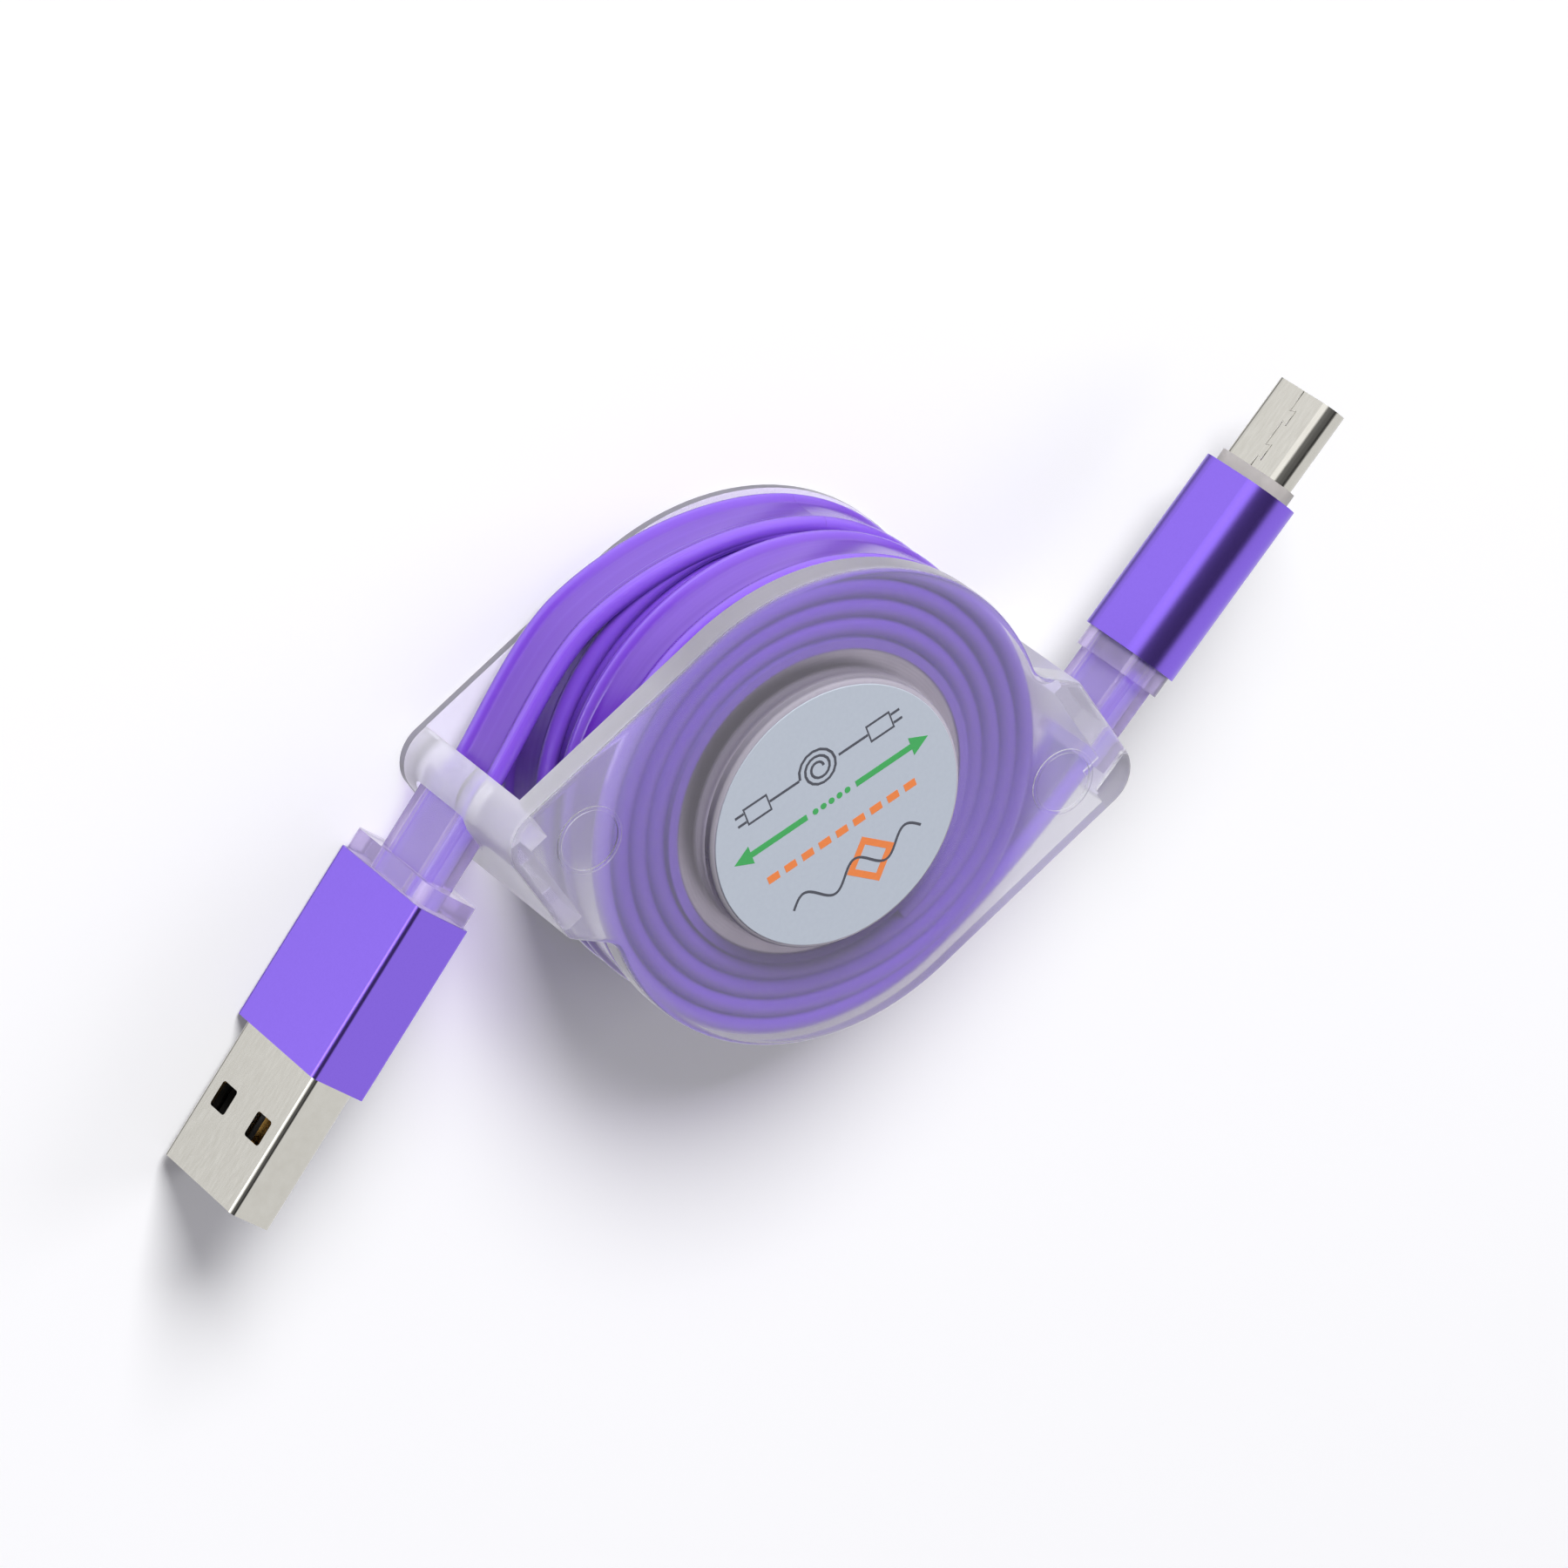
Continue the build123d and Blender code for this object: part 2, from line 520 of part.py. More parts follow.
a_tongue_y = -a_cavity_t / 2 + SEAT / 2 + A_TONGUE_T / 2
a_tongue_end = A_TIP - A_TONGUE_BACK
with BuildPart() as plug_a_tongue:
    with BuildSketch(plug_a.offset(a_shell_back)):
        RectangleRounded(a_cavity_w - SEAT, a_cavity_t - SEAT, A_SHELL_R - A_SHELL_WALL)
    extrude(amount=A_ROOT_L)
    with BuildSketch(plug_a.offset(a_shell_back + A_ROOT_L)):
        with Locations((0, a_tongue_y)):
            RectangleRounded(a_cavity_w - SEAT, A_TONGUE_T, A_SHELL_R - A_SHELL_WALL)
    extrude(amount=a_tongue_end - a_shell_back - A_ROOT_L)
plug_a_tongue.part.label = "plug_a_tongue"
export_step(plug_a_tongue.part, "parts/plug_a_tongue.step")

with BuildPart() as plug_a_contacts:
    for x, length in zip(A_CONTACT_X, A_CONTACT_L):
        with BuildSketch(plug_a.offset(a_tongue_end - A_CONTACT_BACK - length)):
            with Locations((x, a_tongue_y + A_TONGUE_T / 2)):
                Rectangle(A_CONTACT_W, A_CONTACT_T, align=(Align.CENTER, Align.MIN))
        extrude(amount=length)
plug_a_contacts.part.label = "plug_a_contacts"
export_step(plug_a_contacts.part, "parts/plug_a_contacts.step")

# Type-C plug
with BuildPart() as plug_c_boot:
    with BuildSketch(plug_c.offset(-NECK_IN)):
        RectangleRounded(NECK_W, NECK_T, NECK_R)
    extrude(amount=NECK_IN + FLANGE_START)
    with BuildSketch(plug_c.offset(FLANGE_START)):
        SlotOverall(C_SLEEVE_W - 2 * C_BOOT_IN, C_SLEEVE_T - 2 * C_BOOT_IN)
    extrude(amount=SLEEVE_START - FLANGE_START)
    cut_cable_bore(plug_c)
plug_c_boot.part.label = "plug_c_boot"
export_step(plug_c_boot.part, "parts/plug_c_boot.step")

with BuildPart() as plug_c_sleeve:
    with BuildSketch(plug_c.offset(SLEEVE_START)):
        SlotOverall(C_SLEEVE_W, C_SLEEVE_T)
        SlotOverall(C_BORE_W, C_BORE_T, mode=Mode.SUBTRACT)
    extrude(amount=C_SLEEVE_L)
plug_c_sleeve.part.label = "plug_c_sleeve"
export_step(plug_c_sleeve.part, "parts/plug_c_sleeve.step")

c_core_end = C_SLEEVE_END - C_COLLAR_IN
with BuildPart() as plug_c_core:
    with BuildSketch(plug_c.offset(SLEEVE_START)):
        SlotOverall(C_BORE_W - SEAT, C_BORE_T - SEAT)
    extrude(amount=c_core_end - SLEEVE_START)
    with BuildSketch(plug_c.offset(c_core_end)):
        Rectangle(C_BOARD_W + SEAT, C_BOARD_T + SEAT)
    extrude(amount=-C_BOARD_L - SEAT, mode=Mode.SUBTRACT)
plug_c_core.part.label = "plug_c_core"
export_step(plug_c_core.part, "parts/plug_c_core.step")

with BuildPart() as plug_c_board:
    with BuildSketch(plug_c.offset(c_core_end)):
        Rectangle(C_BOARD_W, C_BOARD_T)
    extrude(amount=-C_BOARD_L)
plug_c_board.part.label = "plug_c_board"
export_step(plug_c_board.part, "parts/plug_c_board.step")

c_shell_back = C_COLLAR_END - C_SHELL_IN
with BuildPart() as plug_c_collar:
    with BuildSketch(plug_c.offset(c_core_end)):
        SlotOverall(C_COLLAR_W, C_COLLAR_T)
    extrude(amount=C_COLLAR_END - c_core_end)
    with BuildSketch(plug_c.offset(C_COLLAR_END)):
        SlotOverall(C_SHELL_W + SEAT, C_SHELL_T + SEAT)
    extrude(amount=-C_SHELL_IN, mode=Mode.SUBTRACT)
plug_c_collar.part.label = "plug_c_collar"
export_step(plug_c_collar.part, "parts/plug_c_collar.step")

c_cavity_w = C_SHELL_W - 2 * C_SHELL_WALL
c_cavity_t = C_SHELL_T - 2 * C_SHELL_WALL
with BuildPart() as plug_c_shell:
    with BuildSketch(plug_c.offset(c_shell_back)):
        SlotOverall(C_SHELL_W, C_SHELL_T)
        SlotOverall(c_cavity_w, c_cavity_t, mode=Mode.SUBTRACT)
    extrude(amount=C_TIP - c_shell_back)
plug_c_shell.part.label = "plug_c_shell"
export_step(plug_c_shell.part, "parts/plug_c_shell.step")

with BuildPart() as plug_c_liner:
    with BuildSketch(plug_c.offset(c_shell_back)):
        SlotOverall(c_cavity_w - SEAT, c_cavity_t - SEAT)
    extrude(amount=C_TIP - c_shell_back - SEAT)
    with BuildSketch(plug_c.offset(C_TIP)):
        Rectangle(C_SLOT_W, C_SLOT_T)
    extrude(amount=-C_SLOT_L, mode=Mode.SUBTRACT)
plug_c_liner.part.label = "plug_c_liner"
export_step(plug_c_liner.part, "parts/plug_c_liner.step")

with BuildPart() as plug_c_contacts:
    with BuildSketch(plug_c.offset(C_TIP - C_CONTACT_BACK)):
        with GridLocations(C_SLOT_W / C_CONTACTS, C_SLOT_T - C_CONTACT_T, C_CONTACTS, 2):
            Rectangle(C_CONTACT_W, C_CONTACT_T)
    extrude(amount=-C_CONTACT_L)
plug_c_contacts.part.label = "plug_c_contacts"
export_step(plug_c_contacts.part, "parts/plug_c_contacts.step")
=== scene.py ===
import json
from math import cos, pi, radians, sin

import bmesh
import bpy
from mathutils import Matrix, Vector


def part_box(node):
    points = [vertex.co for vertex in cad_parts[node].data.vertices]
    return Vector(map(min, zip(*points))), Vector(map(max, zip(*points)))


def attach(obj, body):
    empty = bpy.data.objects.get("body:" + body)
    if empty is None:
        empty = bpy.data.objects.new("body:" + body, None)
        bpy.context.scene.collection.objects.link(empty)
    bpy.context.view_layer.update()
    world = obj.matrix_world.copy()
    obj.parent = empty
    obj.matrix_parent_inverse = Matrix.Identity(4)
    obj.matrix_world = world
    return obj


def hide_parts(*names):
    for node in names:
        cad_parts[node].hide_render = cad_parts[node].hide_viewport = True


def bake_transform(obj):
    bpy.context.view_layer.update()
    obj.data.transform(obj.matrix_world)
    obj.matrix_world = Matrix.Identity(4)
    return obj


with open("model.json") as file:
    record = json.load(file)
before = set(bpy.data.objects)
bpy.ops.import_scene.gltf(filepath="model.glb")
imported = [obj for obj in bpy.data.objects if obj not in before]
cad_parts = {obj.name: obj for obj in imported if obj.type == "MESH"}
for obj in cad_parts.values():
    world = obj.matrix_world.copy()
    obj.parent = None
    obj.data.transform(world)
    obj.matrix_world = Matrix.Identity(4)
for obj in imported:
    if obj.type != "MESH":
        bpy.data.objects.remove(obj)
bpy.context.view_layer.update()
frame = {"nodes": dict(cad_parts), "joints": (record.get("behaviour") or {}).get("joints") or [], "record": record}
solids = frame["nodes"]
joints = {joint["name"]: joint for joint in frame["joints"]}
mounts = {mount["name"]: mount for mount in frame["record"]["mounts"]}

# Retractable charging cable, dressed. Metres, in the frame of the solids.
MM = 0.001
UP = Vector((0, 0, 1))
WHITE = (1, 1, 1, 1)

# Photograph: square image, focal length in its pixels, and the camera's place and turn about the reel
IMAGE_PX = 1800
FOCAL_PX = 9188.5
SENSOR = 36.0
CLIP_NEAR = 0.01
CLIP_FAR = 20
CAMERA_AT = Vector((-99.902, 443.312, 523.295)) * MM
CAMERA_RIGHT = Vector((0.71814, -0.45055, 0.53035))
CAMERA_UP = Vector((0.68058, 0.61375, -0.40016))
PHOTO_UP = Vector((0.434, 0.901, 0.0))  # the photographed reel stands on its rim and the type-A plug

# Flat cable: a thin middle between two raised edges
CABLE_W = 6.7 * MM
CABLE_T = 1.7 * MM
CABLE_MID_T = 0.75 * MM
CREST_IN = 0.85 * MM  # from the cable's side to the crest of a raised edge
CREST_FALL = 0.95 * MM  # from the crest down to the middle
CREST_STEPS = 7

# Windings: flat layers of cable on the drum
TURNS = 4
TURN_STEPS = 120
CLIMB = 0.2  # share of a turn in which the cable climbs onto the next layer
WIND_START = 16.0 * MM
WIND_END = 21.25 * MM
REAR_END_ANGLE = radians(40)
FRONT_END_ANGLE = radians(270)

# Leads: a smooth line from the winding into the boot, with the reach of its handles
LEAD_STEPS = 24
EXIT_REACH = 7.0 * MM
LEAD_A_BOW = Vector((-5.0, 23.4, 4.83)) * MM  # where the type-A lead bows out past the covers
LEAD_A_HEADING = Vector((-1, 0, 0.03))
BOW_BACK = 8.0 * MM
BOW_AHEAD = 5.0 * MM
ENTER_A_REACH = 5.0 * MM
ENTER_C_REACH = 7.0 * MM
JOIN_REACH = 0.2 * MM
BOOT_REACH = 3.0 * MM

# Plugs, along the pull direction from the mouth in the ear's end wall
PLUG_A_REACH = 37.35 * MM
PLUG_C_REACH = 34.3 * MM
NECK_IN = 3.0 * MM
SLEEVE_START = 7.0 * MM
STRETCH = 1.0 * MM  # stretch of a lead in the boot's end, along the pull
C_SHELL_T = 2.6 * MM

# Folded seam of the type-C shell: distance from the tip, and sideways
SEAM = [
    (0.05, 0.0), (2.1, 0.0), (1.92, 0.65), (3.4, 0.65), (3.2, 0.0),
    (5.7, 0.0), (5.52, 0.65), (7.1, 0.65), (6.9, 0.0), (7.95, 0.0),
]
SEAM_R = 0.08 * MM
SEAM_SIDES = 8

# Covers and spring: where their finish and painted shade change, and how much less clear the frosted places are
EAR_ZONE = (20.5 * MM, 23.0 * MM)  # from over the winding out to the ears
BOSS_ZONE = (12.4 * MM, 12.8 * MM)  # edge of the raised disc
REAR_RIM = 0.75 * MM  # the rear cover's rim lies below this height
EAR_FROST = 0.08
WALL_FROST = 0.14
RIM_FROST = 0.3
WALL_ROUGH = 0.2
STEEP = 0.5  # a face whose normal has less than this along the spool's axis stands up
SPRING_T = 0.3 * MM

# Fine patterns of the other finishes
DRAW_LINES = (8, 900, 1)  # scale of the jacket's lines along, around and across the cable
# painted highlight on the cable's ridges, with a deeper tone in its thin middle
RIDGE_HIGHLIGHT_AND_TONE = 0.75
STREAK_TONE = 0.25
SKIN_SPREAD = 0.06  # of a moulded skin's roughness, either way
INK_LIFT = 1.15

# Label, and its print in millimetres across and up the label, turned about its middle
LABEL_EDGE = 0.05 * MM
LABEL_STEPS = 144
MERGE = 0.001 * MM
PRINT_TURN = radians(-12)
PRINT_T = 0.02 * MM
UNDERPRINT = 0.006 * MM  # the orange ink lies this much below the grey line that crosses it
LINE_W = 0.24  # thin grey line
COIL_ROW = 5.4
COIL_IN = 0.5
COIL_OUT = 2.0
COIL_TURNS = 2.5
COIL_STEPS = 40
CORD = [(2.1, 0), (5.2, 0)]
PLUG = [(5.3, -0.8), (7.7, -0.8), (7.7, 0.8), (5.3, 0.8)]
PRONGS = [[(7.8, 0.45), (8.7, 0.45)], [(7.8, -0.45), (8.7, -0.45)]]
SLACK_ROW = -6.0
SLACK_REACH = 6.8
SLACK_RISE = 1.0
SLACK_WAVES = 2.5
SLACK_STEPS = 60
ARROW_ROW = 1.7
ARROW_START = 2.6
ARROW_HEAD = 8.5
ARROW_TIP = 10.3
ARROW_W = 0.6
HEAD_HALF_W = 0.95
DOTS_ASIDE = 2  # on each side of the middle dot
DOT_PITCH = 0.85
DOT_R = 0.3
DOT_SIDES = 12
DASH_ROW = -1.7
DASHES = 9
DASH_START = -8.0
DASH_PITCH = 1.82
DASH_L = 1.2
DASH_W = 0.75
SQUARE_AT = (1.4, -6.0)
SQUARE_REACH = 2.1
SQUARE_W = 0.9

# Light mirrored from the photographer's room, by how far it lies up from the level of the table
ROOM = [(-0.06, 0.95), (0.02, 0.24), (0.18, 0.26), (0.33, 1.0), (0.54, 1.0), (0.66, 1.4)]
ROOM_PEAK = max(light for height, light in ROOM)
CAMERA_CONE = (48, 32)  # degrees off the camera, from the outside in
CAMERA_DIM = 0.15
SIDE_LAMP = Vector((-0.66, 0.6, -0.4)).normalized()
SIDE_CONE = (24, 13)
SIDE_LIGHT = 3.2

# Floor, light from all round, and lamps with their place, size and power
FLOOR_EDGE = 3.0
FLOOR_LIFT = 0.1
AMBIENT = 0.21
AMBIENT_TINT = (0.92, 0.9, 1.0, 1)
LAMPS = {
    "key": ((1.2, 2.1, 1.8), 1.3, 106.0),
    "fill": ((1.6, -0.8, 1.2), 1.2, 7.0),
}

pull_a = Vector(joints["plug_a_pull"]["axis"])
pull_c = Vector(joints["plug_c_pull"]["axis"])
mouth_a = Vector(mounts["type_a_plug"]["pos_m"]) - pull_a * PLUG_A_REACH
mouth_c = Vector(mounts["type_c_plug"]["pos_m"]) - pull_c * PLUG_C_REACH


def feed(tree, node, inputs):
    """Fill a node's inputs. Each takes a plain value or another node's output."""
    for name, value in inputs.items():
        if isinstance(value, bpy.types.NodeSocket):
            tree.links.new(value, node.inputs[name])
        else:
            node.inputs[name].default_value = value


def put(tree, kind, inputs=None, **settings):
    """Add a node to a tree, with its settings and inputs."""
    node = tree.nodes.new(kind)
    for name, value in settings.items():
        setattr(node, name, value)
    feed(tree, node, inputs or {})
    return node


def colour(red, green, blue):
    """A screen colour from 0 to 255 as linear light."""
    def linear(value):
        share = value / 255
        return share / 12.92 if share <= 0.04045 else ((share + 0.055) / 1.055) ** 2.4
    return (linear(red), linear(green), linear(blue), 1.0)


def finish_base(name):
    """A new material with its tree and its Principled shader."""
    material = bpy.data.materials.new(name)
    material.use_nodes = True
    tree = material.node_tree
    return material, tree, tree.nodes["Principled BSDF"]


def calc(tree, operation, first, second=0.0):
    """The result of a Math node on two values."""
    return put(tree, "ShaderNodeMath", {0: first, 1: second}, operation=operation).outputs["Value"]


def object_place(tree):
    """The point of the surface, in the frame of the solids."""
    return put(tree, "ShaderNodeTexCoord").outputs["Object"]


def object_noise(tree, scale, detail=3.0, stretch=(1, 1, 1)):
    """Noise on object coordinates, from 0 to 1."""
    place = put(tree, "ShaderNodeMapping", {"Vector": object_place(tree), "Scale": stretch})
    inputs = {"Vector": place.outputs["Vector"], "Scale": scale, "Detail": detail}
    return put(tree, "ShaderNodeTexNoise", inputs).outputs["Fac"]


def axis_distance(tree):
    """Distance from the spool's axis."""
    flat = put(tree, "ShaderNodeVectorMath", {0: object_place(tree), 1: (1, 1, 0)}, operation="MULTIPLY")
    return put(tree, "ShaderNodeVectorMath", {0: flat.outputs["Vector"]}, operation="LENGTH").outputs["Value"]


def spread(tree, value, low, high, low_in=0.3, high_in=0.7):
    """Map a value's range to another one: without a range, a noise's usual values."""
    inputs = {"Value": value, "From Min": low_in, "From Max": high_in, "To Min": low, "To Max": high}
    return put(tree, "ShaderNodeMapRange", inputs).outputs["Result"]


def shades(tree, value, dark, light):
    """Two colours mixed by a value."""
    return put(tree, "ShaderNodeMix", {0: value, 6: dark, 7: light}, data_type="RGBA").outputs[2]


def between(tree, value, low, high):
    """Two numbers mixed by a value."""
    return put(tree, "ShaderNodeMix", {0: value, 2: low, 3: high}, data_type="FLOAT").outputs[0]


def relief(tree, height, depth):
    """A surface normal with fine relief from a height pattern."""
    bump = put(tree, "ShaderNodeBump", {"Height": height, "Strength": 0.5, "Distance": depth})
    return bump.outputs["Normal"]


def let_lamps_through(tree, shader, tint):
    """Light from the lamps passes a clear moulding and reaches what is behind it."""
    shadow = put(tree, "ShaderNodeLightPath").outputs["Is Shadow Ray"]
    clear = put(tree, "ShaderNodeBsdfTransparent", {"Color": tint})
    mix = put(tree, "ShaderNodeMixShader", {0: shadow, 1: shader.outputs["BSDF"], 2: clear.outputs["BSDF"]})
    feed(tree, tree.nodes["Material Output"], {"Surface": mix.outputs["Shader"]})


def side_face(tree):
    """1 on faces that stand up from the covers' planes, or else 0."""
    normal = put(tree, "ShaderNodeNewGeometry").outputs["True Normal"]
    level = put(tree, "ShaderNodeSeparateXYZ", {"Vector": normal}).outputs["Z"]
    return calc(tree, "LESS_THAN", calc(tree, "ABSOLUTE", level), STEEP)


def below(tree, height):
    """1 under a height, or else 0."""
    level = put(tree, "ShaderNodeSeparateXYZ", {"Vector": object_place(tree)}).outputs["Z"]
    return calc(tree, "LESS_THAN", level, height)


def clear_cover():
    """Clear moulding: hazy over the winding and tinted darker there as painted shade, frosted on the ears' walls,
    with a painted grey shade on the rear cover's rim.
    """
    material, tree, shader = finish_base("clear_cover")
    radius = axis_distance(tree)
    ear = spread(tree, radius, 0.0, 1.0, *EAR_ZONE)
    wall = calc(tree, "MULTIPLY", side_face(tree), ear)
    rim = calc(tree, "MULTIPLY", side_face(tree), below(tree, REAR_RIM))
    # painted shade: the plate is coloured darker over the winding, dimming the coil seen through it, and paler out
    # at the ears
    plain = shades(tree, ear, colour(224, 219, 231), colour(246, 246, 250))
    see_through = spread(tree, radius, 0.6, 0.94, *BOSS_ZONE)
    frost = calc(tree, "MULTIPLY", ear, EAR_FROST)
    frost = calc(tree, "ADD", frost, calc(tree, "MULTIPLY", wall, WALL_FROST))
    frost = calc(tree, "ADD", frost, calc(tree, "MULTIPLY", rim, RIM_FROST))
    haze = spread(tree, ear, 0.24, 0.14, 0.0, 1.0)
    wave = spread(tree, object_noise(tree, 150, 1.0), -0.02, 0.02)
    rough = calc(tree, "ADD", calc(tree, "ADD", haze, wave), calc(tree, "MULTIPLY", wall, WALL_ROUGH))
    feed(tree, shader, {
        # painted shade: the rear cover's rim faces are coloured grey for the dark line a clear edge shows
        "Base Color": shades(tree, rim, plain, colour(140, 139, 147)),
        "IOR": 1.49,
        "Transmission Weight": calc(tree, "SUBTRACT", see_through, frost),
        "Roughness": rough,
    })
    let_lamps_through(tree, shader, (0.91, 0.88, 0.97, 1))
    return material


def clear_boot():
    """Soft milky moulding round the cable's end."""
    material, tree, shader = finish_base("clear_boot")
    skin = object_noise(tree, 300)
    feed(tree, shader, {
        "Base Color": shades(tree, skin, colour(208, 192, 240), colour(222, 208, 248)),
        "IOR": 1.46,
        "Transmission Weight": 0.72,
        "Roughness": spread(tree, skin, 0.14, 0.2),
    })
    let_lamps_through(tree, shader, (0.76, 0.7, 0.88, 1))
    return material


def cable_jacket():
    """Glossy, slightly translucent purple jacket with faint draw lines along it. Its ridges carry a painted
    highlight, paler where they would catch light, and its thin middle a deeper tone.
    """
    material, tree, shader = finish_base("cable_jacket")
    run = put(tree, "ShaderNodeAttribute", attribute_name="run").outputs["Vector"]
    lines = put(tree, "ShaderNodeMapping", {"Vector": run, "Scale": DRAW_LINES}).outputs["Vector"]
    streak = put(tree, "ShaderNodeTexNoise", {"Vector": lines, "Scale": 1.0, "Detail": 2.0}).outputs["Fac"]
    across = calc(tree, "ABSOLUTE", put(tree, "ShaderNodeSeparateXYZ", {"Vector": run}).outputs["Z"])
    # painted highlight: the ridges are coloured paler, the thin middle deeper
    ridge_highlight_and_tone = spread(tree, across, 0.0, RIDGE_HIGHLIGHT_AND_TONE, CABLE_W / 2 - 2 * CREST_IN, CABLE_W / 2 - CREST_IN)
    tone = calc(tree, "ADD", ridge_highlight_and_tone, spread(tree, streak, 0.0, STREAK_TONE))
    feed(tree, shader, {
        "Base Color": shades(tree, tone, colour(98, 40, 178), colour(128, 82, 212)),
        "Roughness": spread(tree, streak, 0.22, 0.28),
        "Subsurface Weight": 0.25,
        "Subsurface Radius": (0.5, 0.25, 1.0),
        "Subsurface Scale": 0.6 * MM,
        "Coat Weight": 0.6,
        "Coat Roughness": 0.16,
        "Normal": relief(tree, streak, 0.004 * MM),
    })
    return material


def purple_sleeve():
    """Satin anodised aluminium with a fine blasted grain."""
    material, tree, shader = finish_base("purple_sleeve")
    grain = object_noise(tree, 5000, 2.0)
    feed(tree, shader, {
        "Base Color": shades(tree, grain, colour(135, 103, 225), colour(141, 109, 231)),
        "Metallic": 1.0,
        "Roughness": spread(tree, grain, 0.28, 0.31),
    })
    return material


def plug_metal(name, smooth, rough):
    """Bright plated steel with faint drawing marks and stains."""
    material, tree, shader = finish_base(name)
    marks = object_noise(tree, 700, 4.0, (1, 1, 5))
    feed(tree, shader, {
        "Base Color": shades(tree, marks, colour(196, 193, 185), colour(212, 210, 204)),
        "Metallic": 1.0,
        "Roughness": spread(tree, marks, smooth, rough),
    })
    return material


def spring_steel():
    """Edges of the rolled steel strip: fine rings about the spool's axis."""
    material, tree, shader = finish_base("spring_steel")
    ring = calc(tree, "SINE", calc(tree, "MULTIPLY", axis_distance(tree), 2 * pi / SPRING_T))
    tone = spread(tree, ring, 0.0, 1.0, -1.0, 1.0)
    feed(tree, shader, {
        "Base Color": shades(tree, tone, colour(214, 212, 210), colour(234, 232, 230)),
        "Metallic": 1.0,
        "Roughness": spread(tree, object_noise(tree, 700), 0.3, 0.4),
        "Anisotropic": 0.7,
        "Tangent": put(tree, "ShaderNodeTangent", direction_type="RADIAL", axis="Z").outputs["Tangent"],
    })
    return material


def moulded(name, dark, light, rough=0.45):
    """Plain moulded plastic with a fine skin."""
    material, tree, shader = finish_base(name)
    skin = object_noise(tree, 900)
    feed(tree, shader, {
        "Base Color": shades(tree, skin, dark, light),
        "Roughness": spread(tree, skin, rough - SKIN_SPREAD, rough + SKIN_SPREAD),
        "Normal": relief(tree, skin, 0.02 * MM),
    })
    return material


def label_paper():
    """Satin label stock, a little mottled."""
    material, tree, shader = finish_base("label_paper")
    fibre = object_noise(tree, 2600)
    feed(tree, shader, {
        "Base Color": shades(tree, fibre, colour(181, 189, 201), colour(189, 197, 208)),
        "Roughness": spread(tree, fibre, 0.3, 0.4),
        "Normal": relief(tree, fibre, 0.004 * MM),
    })
    return material


def pale_collar():
    """Translucent grey insulator round the type-C shell."""
    material, tree, shader = finish_base("pale_collar")
    skin = object_noise(tree, 700)
    feed(tree, shader, {
        "Base Color": shades(tree, skin, colour(196, 191, 188), colour(220, 216, 214)),
        "Transmission Weight": 0.45,
        "IOR": 1.5,
        "Roughness": spread(tree, skin, 0.28, 0.36),
    })
    let_lamps_through(tree, shader, (0.72, 0.7, 0.68, 1))
    return material


def gold_contact():
    """Gold plate with light rub marks."""
    material, tree, shader = finish_base("gold_contact")
    marks = object_noise(tree, 3000)
    feed(tree, shader, {
        "Base Color": shades(tree, marks, colour(214, 156, 66), colour(244, 200, 116)),
        "Metallic": 1.0,
        "Roughness": spread(tree, marks, 0.2, 0.34),
    })
    return material


def ink(name, tone):
    """Flat print on the label, a little uneven."""
    material, tree, shader = finish_base(name)
    light = tuple(min(1.0, part * INK_LIFT) for part in tone[:3]) + (1.0,)
    feed(tree, shader, {
        "Base Color": shades(tree, object_noise(tree, 2500), tone, light),
        "Roughness": 0.4,
    })
    return material


finishes = {
    "clear_cover": clear_cover(),
    "clear_boot": clear_boot(),
    "cable_jacket": cable_jacket(),
    "purple_sleeve": purple_sleeve(),
    "plug_metal": plug_metal("plug_metal", 0.12, 0.2),
    "spring_steel": spring_steel(),
    "label_paper": label_paper(),
    "pale_collar": pale_collar(),
    "gold_contact": gold_contact(),
    "drum_plastic": moulded("drum_plastic", colour(128, 92, 206), colour(146, 112, 222)),
    "pawl_plastic": moulded("pawl_plastic", colour(216, 216, 212), colour(228, 228, 225)),
    "black_insulator": moulded("black_insulator", colour(26, 26, 27), colour(38, 37, 36), 0.5),
    "white_core": moulded("white_core", colour(222, 222, 218), colour(234, 234, 231)),
    "green_board": moulded("green_board", colour(16, 70, 36), colour(24, 92, 48), 0.35),
}

for row in frame["record"]["subparts"]:
    mesh = solids[row["node"]].data
    mesh.materials.clear()
    mesh.materials.append(finishes[row["material_slot"]])


def new_piece(name, data):
    """An object at the origin for a finished mesh or curve."""
    piece = bpy.data.objects.new(name, data)
    bpy.context.scene.collection.objects.link(piece)
    return piece


def section_curve(name, points):
    """A closed curve of points as an object, for sweeping."""
    data = bpy.data.curves.new(name, "CURVE")
    line = data.splines.new("POLY")
    line.points.add(len(points) - 1)
    for point, (through, across) in zip(line.points, points):
        point.co = (through, across, 0, 1)
    line.use_cyclic_u = True
    return new_piece(name, data)


def cable_section():
    """The flat cable's section: rounded sides, a crest near each, and a thinner middle."""
    crest = CABLE_W / 2 - CREST_IN
    quarter = []
    for step in range(CREST_STEPS):
        angle = pi / 2 * step / CREST_STEPS
        quarter.append((CABLE_T / 2 * sin(angle), crest + CREST_IN * cos(angle)))
    for step in range(CREST_STEPS + 1):
        share = step / CREST_STEPS
        drop = share * share * (3 - 2 * share)
        quarter.append((CABLE_T / 2 - (CABLE_T - CABLE_MID_T) / 2 * drop, crest - CREST_FALL * share))
    half = quarter + [(through, -across) for through, across in reversed(quarter)][:-1]
    outline = half + [(-through, -across) for through, across in half]
    return outline[::-1]  # anticlockwise, so that the swept faces point outwards


